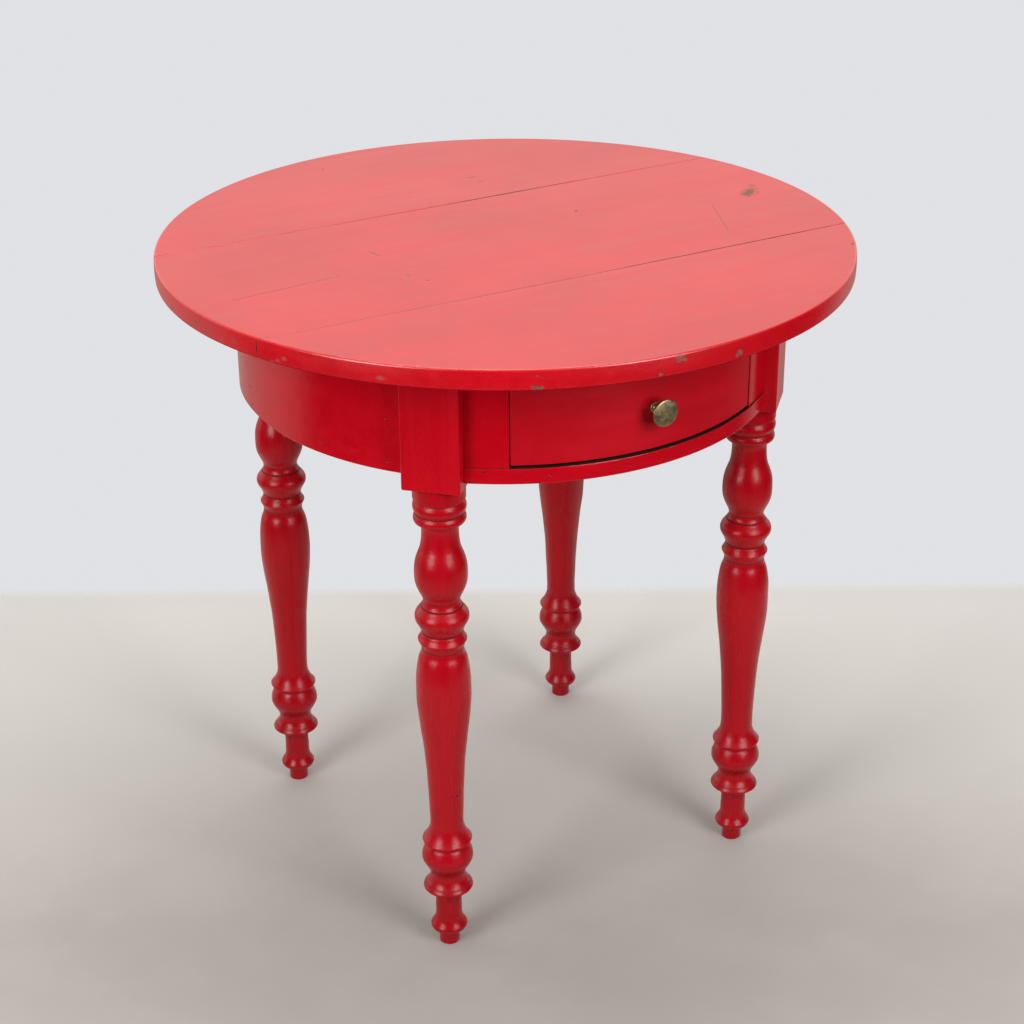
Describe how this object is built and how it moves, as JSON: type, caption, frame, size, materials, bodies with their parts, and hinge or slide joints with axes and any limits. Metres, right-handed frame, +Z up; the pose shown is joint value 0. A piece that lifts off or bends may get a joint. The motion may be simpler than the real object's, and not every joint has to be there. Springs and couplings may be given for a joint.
{
  "type": "round tavern table with drawer",
  "caption": "round-topped table on turned legs, with a curved drum frame and a bowed drawer with a small metal knob",
  "frame": {"origin": "on the floor under the middle of the round top, which is the bottom centre of the bounding box", "axes": "+Z is up, the drawer faces -Y and opens towards -Y, +X is to the right of someone who faces the drawer"},
  "size_m": [0.7619, 0.762, 0.74],
  "materials": {
    "painted_wood": "red gloss paint over wood, worn and chipped to brown wood at the edges",
    "bare_wood": "bare softwood, darkened with age",
    "iron": "dark cut nails",
    "knob_brass": "dull, darkened brass"
  },
  "bodies": {
    "table_frame": {"top_board_front": "painted_wood", "top_board_middle": "painted_wood", "top_board_rear": "painted_wood", "top_batten_left": "bare_wood", "top_batten_right": "bare_wood", "batten_nails": "iron", "glue_blocks": "bare_wood", "leg_front_left": "painted_wood", "leg_front_right": "painted_wood", "leg_rear_right": "painted_wood", "leg_rear_left": "painted_wood", "tenon_pegs": "painted_wood", "apron_right": "painted_wood", "apron_rear": "painted_wood", "apron_left": "painted_wood", "drawer_rail": "painted_wood", "upper_rail": "painted_wood", "front_block_left": "painted_wood", "front_block_right": "painted_wood", "drawer_runner_left": "bare_wood", "drawer_runner_right": "bare_wood", "drawer_guide_left": "bare_wood", "drawer_guide_right": "bare_wood", "drawer_stops": "bare_wood"},
    "drawer": {"drawer_front": "painted_wood", "drawer_side_left": "bare_wood", "drawer_side_right": "bare_wood", "drawer_back": "bare_wood", "drawer_bottom": "bare_wood", "bottom_nails": "iron", "drawer_knob": "knob_brass", "knob_nut": "knob_brass"}
  },
  "joints": [
    {"name": "drawer_slide", "type": "slide", "parent": "table_frame", "child": "drawer", "axis": [0, -1, 0], "range_m": [0, 0.3]}
  ]
}
